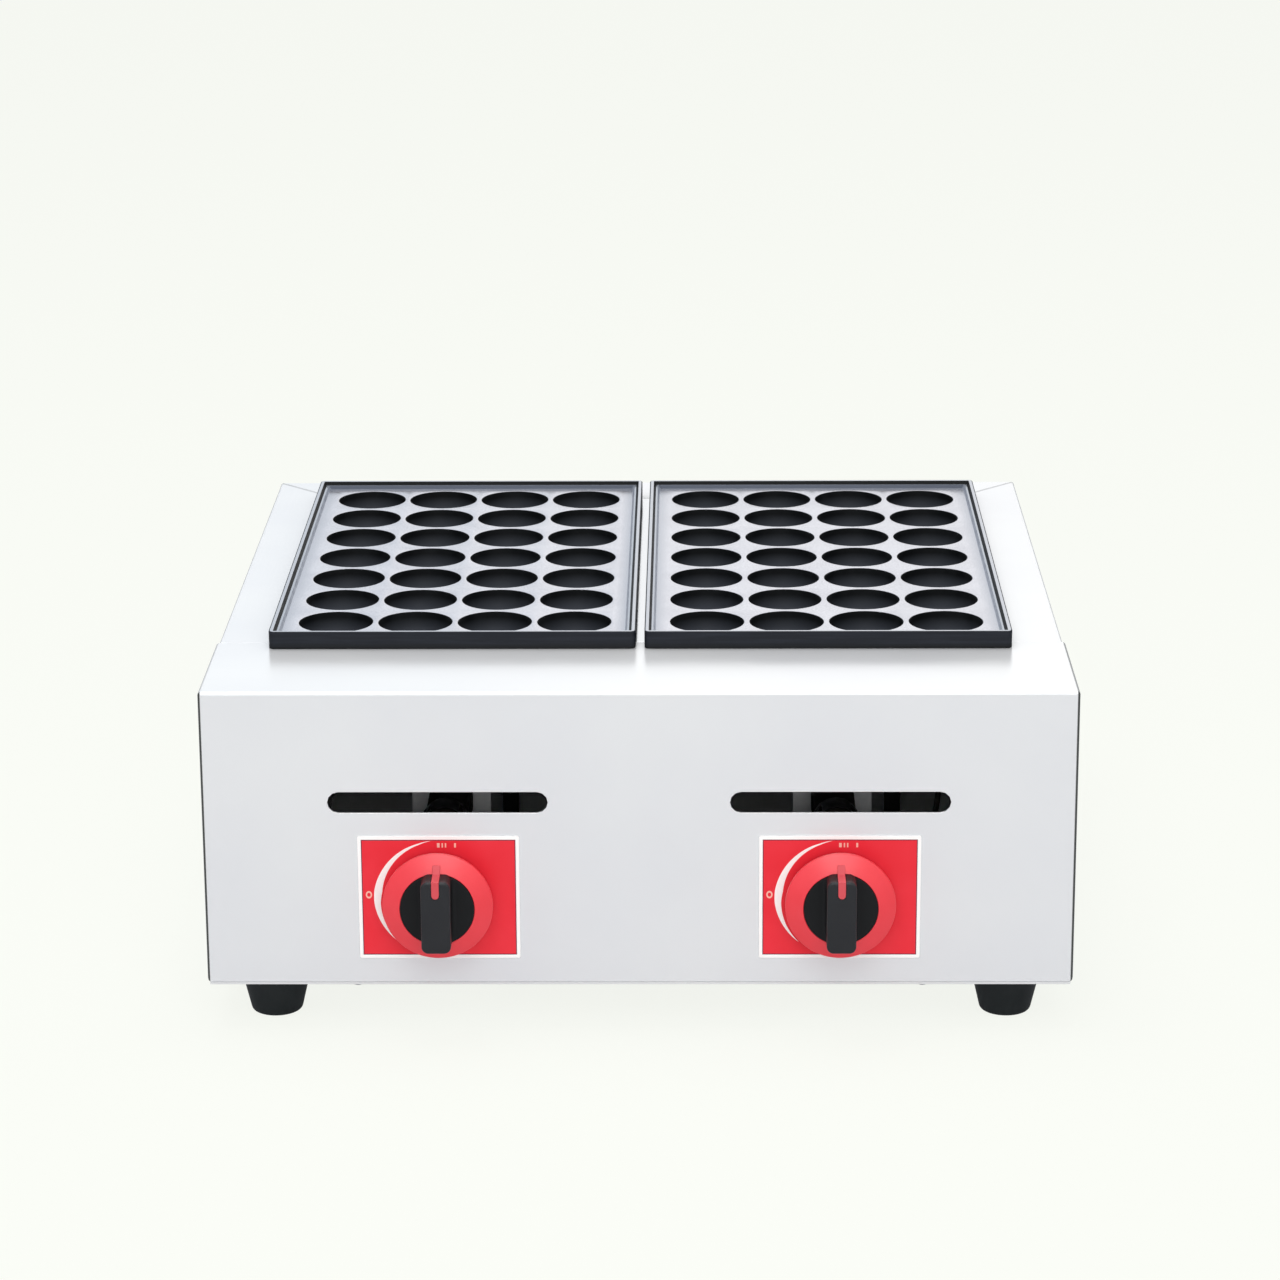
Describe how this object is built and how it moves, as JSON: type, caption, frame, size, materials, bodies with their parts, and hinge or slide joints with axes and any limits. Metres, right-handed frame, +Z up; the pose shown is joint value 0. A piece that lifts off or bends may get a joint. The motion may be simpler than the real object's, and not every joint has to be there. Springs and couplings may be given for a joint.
{
  "type": "takoyaki maker",
  "caption": "Countertop gas takoyaki maker: two lift-off cast mould plates of round bowls on a folded steel casing, with bar burners, push-and-turn knobs and rubber feet.",
  "frame": {"origin": "under the middle of the overall box, at the level that the feet stand on", "axes": "+X to the right as seen by the cook, +Y towards the back, +Z up; the knobs face -Y"},
  "size_m": [0.459, 0.5044, 0.1981],
  "materials": {
    "steel_sheet": "satin",
    "pipe_steel": "dull",
    "bright_steel": "bright",
    "brass": "satin",
    "mould_coating": "black non-stick coating on cast aluminium",
    "control_print": "printed, satin",
    "red_plastic": "satin",
    "black_plastic": "satin",
    "burner_iron": "black, heat dulled",
    "ceramic_white": "glazed",
    "lead_rubber": "matte",
    "foot_rubber": "matte"
  },
  "bodies": {
    "casing": {"front_cover": "steel_sheet", "rear_panel": "steel_sheet", "bottom_panel": "steel_sheet", "centre_rail": "steel_sheet", "gas_manifold": "pipe_steel", "gas_supply_pipe": "pipe_steel", "front_burner_support": "pipe_steel", "rear_burner_support": "pipe_steel", "gas_inlet_nipple": "brass", "gas_inlet_nut": "brass", "left_side_panel": "steel_sheet", "left_control_plate": "control_print", "left_stem_spring": "bright_steel", "left_electrode_rod": "bright_steel", "left_gas_valve": "brass", "left_gas_jet": "brass", "left_burner": "burner_iron", "left_electrode_bracket": "burner_iron", "left_electrode_ceramic": "ceramic_white", "left_ignition_wire": "lead_rubber", "front_left_foot": "foot_rubber", "front_left_foot_screw": "bright_steel", "front_left_floor_screw": "bright_steel", "rear_left_foot": "foot_rubber", "rear_left_foot_screw": "bright_steel", "rear_left_floor_screw": "bright_steel", "upper_left_rear_screw": "bright_steel", "lower_left_rear_screw": "bright_steel", "right_side_panel": "steel_sheet", "right_control_plate": "control_print", "right_stem_spring": "bright_steel", "right_electrode_rod": "bright_steel", "right_gas_valve": "brass", "right_gas_jet": "brass", "right_burner": "burner_iron", "right_electrode_bracket": "burner_iron", "right_electrode_ceramic": "ceramic_white", "right_ignition_wire": "lead_rubber", "front_right_foot": "foot_rubber", "front_right_foot_screw": "bright_steel", "front_right_floor_screw": "bright_steel", "rear_right_foot": "foot_rubber", "rear_right_foot_screw": "bright_steel", "rear_right_floor_screw": "bright_steel", "upper_right_rear_screw": "bright_steel", "lower_right_rear_screw": "bright_steel"},
    "left_mould": {"left_mould_plate": "mould_coating"},
    "left_push": {"left_push_collar": "brass"},
    "left_knob": {"left_knob_skirt": "red_plastic", "left_knob_grip": "black_plastic", "left_knob_pointer": "red_plastic", "left_valve_stem": "bright_steel"},
    "left_shutter": {"left_air_shutter": "pipe_steel"},
    "right_mould": {"right_mould_plate": "mould_coating"},
    "right_push": {"right_push_collar": "brass"},
    "right_knob": {"right_knob_skirt": "red_plastic", "right_knob_grip": "black_plastic", "right_knob_pointer": "red_plastic", "right_valve_stem": "bright_steel"},
    "right_shutter": {"right_air_shutter": "pipe_steel"}
  },
  "joints": [
    {"name": "left_mould_lift", "type": "slide", "parent": "casing", "child": "left_mould", "axis": [0, 0, 1], "range_m": [0, 0.08]},
    {"name": "left_knob_push", "type": "slide", "parent": "casing", "child": "left_push", "axis": [0, 1, 0], "range_m": [0, 0.004], "stiffness_N_per_m": 400},
    {"name": "left_knob_turn", "type": "hinge", "parent": "left_push", "child": "left_knob", "pos_m": [-0.1055, -0.2192, 0.0753], "axis": [0, -1, 0], "range_deg": [0, 135]},
    {"name": "left_shutter_turn", "type": "hinge", "parent": "casing", "child": "left_shutter", "pos_m": [-0.1055, -0.163, 0.0953], "axis": [0, 1, 0], "range_deg": [0, 60]},
    {"name": "right_mould_lift", "type": "slide", "parent": "casing", "child": "right_mould", "axis": [0, 0, 1], "range_m": [0, 0.08]},
    {"name": "right_knob_push", "type": "slide", "parent": "casing", "child": "right_push", "axis": [0, 1, 0], "range_m": [0, 0.004], "stiffness_N_per_m": 400},
    {"name": "right_knob_turn", "type": "hinge", "parent": "right_push", "child": "right_knob", "pos_m": [0.1055, -0.2192, 0.0753], "axis": [0, -1, 0], "range_deg": [0, 135]},
    {"name": "right_shutter_turn", "type": "hinge", "parent": "casing", "child": "right_shutter", "pos_m": [0.1055, -0.163, 0.0953], "axis": [0, 1, 0], "range_deg": [0, 60]}
  ]
}
